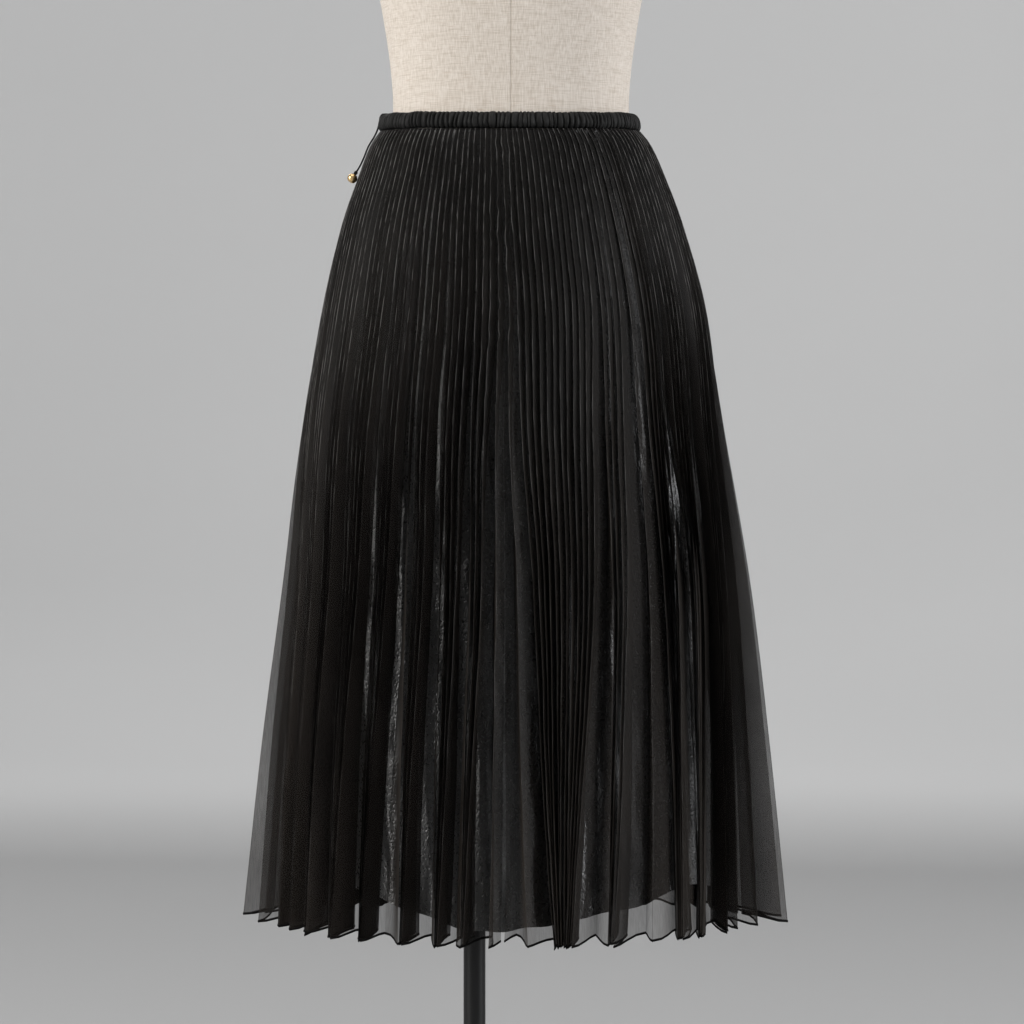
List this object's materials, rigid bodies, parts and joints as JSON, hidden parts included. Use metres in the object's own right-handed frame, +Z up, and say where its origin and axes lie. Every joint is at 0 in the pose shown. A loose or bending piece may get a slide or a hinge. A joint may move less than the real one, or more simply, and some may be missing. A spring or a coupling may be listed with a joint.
{
  "type": "pleated maxi skirt on a limbless dress form",
  "caption": "Long sunray-pleated sheer skirt with a gathered waistband, lining and tie, worn on a linen dress form on a pole stand.",
  "frame": {"origin": "middle of the base's underside, on the floor, at the foot of the pole", "axes": "+Z up the pole; the side with the sewn centre seam, which the picture shows, faces -Y; +X is to the right as seen from there"},
  "size_m": [0.5483, 0.4587, 1.5],
  "materials": {
    "organza": "sheer pleated organza, dark brownish black",
    "satin": "thin black satin",
    "band_cloth": "gathered black cloth",
    "cord": "matt black cord",
    "gold": "polished gold colour",
    "linen": "natural slubbed linen",
    "black_metal": "satin black"
  },
  "bodies": {
    "root": {"outer_right": "organza", "outer_left": "organza", "lining_near": "satin", "lining_far": "satin", "waistband": "band_cloth", "tie_cord": "cord", "tie_bead": "gold", "form_torso": "linen", "stand_pole": "black_metal", "stand_base": "black_metal"}
  },
  "joints": []
}
